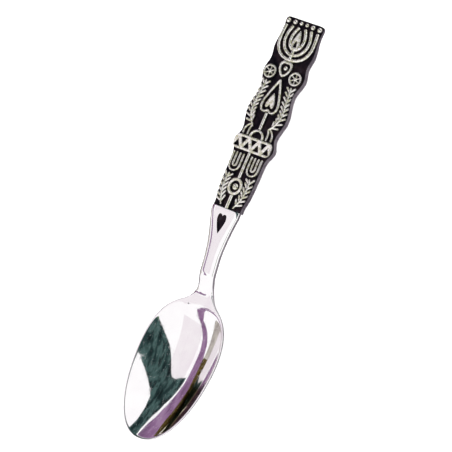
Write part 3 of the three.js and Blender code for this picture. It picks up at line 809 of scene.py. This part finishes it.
def along_mirror(x, y):
    run = 2 * SLOPE_STEP
    slope_x = (dish_height(x + SLOPE_STEP, y) - dish_height(x - SLOPE_STEP, y)) / run
    slope_y = (dish_height(x, y + SLOPE_STEP) - dish_height(x, y - SLOPE_STEP)) / run
    normal = Vector((-slope_x, -slope_y, 1)).normalized()
    mirror = 2 * normal.dot(towards) * normal - towards
    return Vector((x, y, dish_height(x, y))) * MM + mirror * CARD_DISTANCE


print("the middle of the bowl mirrors", [round(v, 2) for v in along_mirror(0, BOWL_MIDDLE)])


# %% [markdown]
# The cards are unlit paint in blotches, like the things around a studio table. An outline is filled with a
# net of triangles before it is carried out, so that the card bends where the dish bends.

# %% Cards from outlines
NET_STEP, SAME_POINT, INSIDE_ONLY = 1.0, 1e-6, 1


def only_reflected(thing):
    thing.visible_camera = False
    thing.visible_diffuse = False
    thing.visible_shadow = False
    thing.visible_transmission = False


def card_paint(name, stops, size_mm):
    material, tree = new_material(name)
    place = add_node(tree, "ShaderNodeTexCoord").outputs["Object"]
    blotches = add_node(tree, "ShaderNodeTexNoise", inputs={
        "Vector": place, "Scale": blobs(size_mm), "Detail": 4.0})
    colour = add_node(tree, "ShaderNodeValToRGB", inputs={"Fac": blotches.outputs["Fac"]}, stops=stops)
    light = add_node(tree, "ShaderNodeEmission", inputs={"Color": colour.outputs["Color"], "Strength": 1.0})
    add_node(tree, "ShaderNodeOutputMaterial", inputs={"Surface": light.outputs["Emission"]})
    return material


def picture_card(name, line, paint):
    corners = [Vector(p) for p in line]
    edges = [(i, (i + 1) % len(line)) for i in range(len(line))]
    low = [min(p[k] for p in line) for k in (0, 1)]
    high = [max(p[k] for p in line) for k in (0, 1)]
    inner = [Vector((x, y)) for x in np.arange(low[0], high[0], NET_STEP)
             for y in np.arange(low[1], high[1], NET_STEP)]
    flat, _, triangles, _, _, _ = delaunay_2d_cdt(
        corners + inner, edges, [tuple(range(len(line)))], INSIDE_ONLY, SAME_POINT)
    card = mesh_object(name, [along_mirror(p.x, p.y) for p in flat], triangles, [paint])
    only_reflected(card)
    print(name, "card:", len(triangles), "triangles")


# %% [markdown]
# Dark green and black: the middle of the bowl mirrors the dark room in front of the table.

# %% Dark room
room_paint = card_paint("room_dark_green", [
    (0.32, "131d1f"), (0.47, "263a3a"), (0.60, "4f6a67"), (0.72, "1a2627")], 420)
ROOM = [(-9.4, -26.9), (-10.7, -28.2), (-11.3, -31.7), (-11.3, -35.5), (-10.2, -36.1), (-8.3, -38.9),
        (-6.5, -41.5), (-5.1, -43.5), (-3.9, -45.5), (-3.4, -48.4), (-3.3, -51.7), (-3.8, -54.7),
        (-2.3, -55.9), (-0.7, -56.1), (-1.0, -53.5), (-0.4, -49.8), (0.8, -46.0), (1.9, -43.1),
        (2.8, -39.1), (3.0, -36.9), (1.4, -37.5), (0.0, -38.8), (-1.1, -38.6), (-2.9, -35.8),
        (-5.1, -32.1), (-7.2, -29.7)]
picture_card("room", ROOM, room_paint)

# %% [markdown]
# Mauve: a curtain beside the table, which runs down the bowl as one long band.

# %% Mauve curtain
curtain_paint = card_paint("curtain_mauve", [(0.35, "7a5d7e"), (0.5, "8f6d92"), (0.65, "a183a4")], 500)
CURTAIN = [(-1.2, -20.3), (1.4, -20.3), (1.8, -23.3), (3.6, -25.1), (5.0, -28.1), (5.5, -31.6),
           (5.4, -35.6), (5.4, -39.5), (4.7, -44.4), (3.8, -49.3), (3.8, -53.5), (2.8, -55.8),
           (-0.2, -56.4), (-0.6, -54.5), (-0.1, -51.3), (1.2, -47.2), (2.4, -43.1), (3.3, -38.6),
           (3.5, -34.6), (3.6, -30.6), (3.1, -27.6), (1.9, -25.2), (0.2, -23.2)]
picture_card("curtain", CURTAIN, curtain_paint)

# %% [markdown]
# The table round the spoon is grey in the mirror, because the spoon and the camera shade it. That grey is
# what draws the outline of the silver on the white paper. A pale rosy ceiling hangs over the stem.

# %% Grey table and rosy ceiling
TABLE_HALF, TABLE_LIFT = 0.16, 0.00001
CEILING_DISTANCE = 3.3
table_paint = card_paint("table_grey", [(0.4, "6a646c"), (0.6, "8a848b")], 25)
table = flat_card("table_in_mirror", centre=(0, 0, TABLE_LIFT), side_a=(TABLE_HALF, 0, 0),
                  side_b=(0, TABLE_HALF, 0), material=table_paint)
only_reflected(table)
ceiling_paint = card_paint("ceiling_rose", [(0.4, "f8f2f6"), (0.6, "fcf8fa")], 900)
level_mirror = Vector((-towards.x, -towards.y, towards.z))        # what a level mirror shows the camera
ceiling = flat_card("ceiling", centre=level_mirror * CEILING_DISTANCE, side_a=(1.2, 0, 0),
                    side_b=(0, 1.5, 0), material=ceiling_paint)
only_reflected(ceiling)
print("ceiling: %.2f m up" % (level_mirror.z * CEILING_DISTANCE))

# %% [markdown]
# Low along the left stand a brown shelf and a pale one, which the right wall of the bowl and the left edge
# of the stem mirror. A narrow green card is meant for the right shoulder of the stem.

# %% Shelves and green strip
STRIP_WAY, STRIP_DISTANCE = Vector((0.67, -0.04, 0.74)), 3.2
STRIP_SETBACK, STRIP_HALF_LENGTH, STRIP_HALF_WIDTH = 0.9, 1.1, 0.22
shelf_paint = card_paint("shelf_brown", [
    (0.38, "2e2415"), (0.5, "6b5a2a"), (0.58, "3a2e1a"), (0.7, "a89a78")], 160)
shelf = flat_card("shelf", centre=(-3.3, 1.25, 0.85), side_a=(0, 1.3, 0), side_b=(0, 0, 0.95),
                  material=shelf_paint)
only_reflected(shelf)
pale_paint = card_paint("shelf_grey", [(0.4, "a8a29c"), (0.6, "c9c3ba")], 400)
pale_shelf = flat_card("grey_shelf", centre=(-3.4, -1.0, 0.6), side_a=(0, 0.95, 0), side_b=(0, 0, 0.7),
                       material=pale_paint)
only_reflected(pale_shelf)
leaf_paint = card_paint("strip_green", [(0.4, "4f6a4a"), (0.6, "7f9a74")], 300)
strip = flat_card("green_strip", centre=STRIP_WAY * STRIP_DISTANCE - Vector((0, STRIP_SETBACK, 0)),
                  side_a=(0, STRIP_HALF_LENGTH, 0),
                  side_b=STRIP_WAY.cross(Vector((0, 1, 0))) * STRIP_HALF_WIDTH, material=leaf_paint)
only_reflected(strip)
print("shelves and strip:", shelf.name, pale_shelf.name, strip.name)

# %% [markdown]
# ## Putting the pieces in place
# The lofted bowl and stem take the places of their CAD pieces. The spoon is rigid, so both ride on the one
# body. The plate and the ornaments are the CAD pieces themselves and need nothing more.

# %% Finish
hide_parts("bowl")
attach(bowl_shell, "root")
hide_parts("stem")
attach(stem_bar, "root")
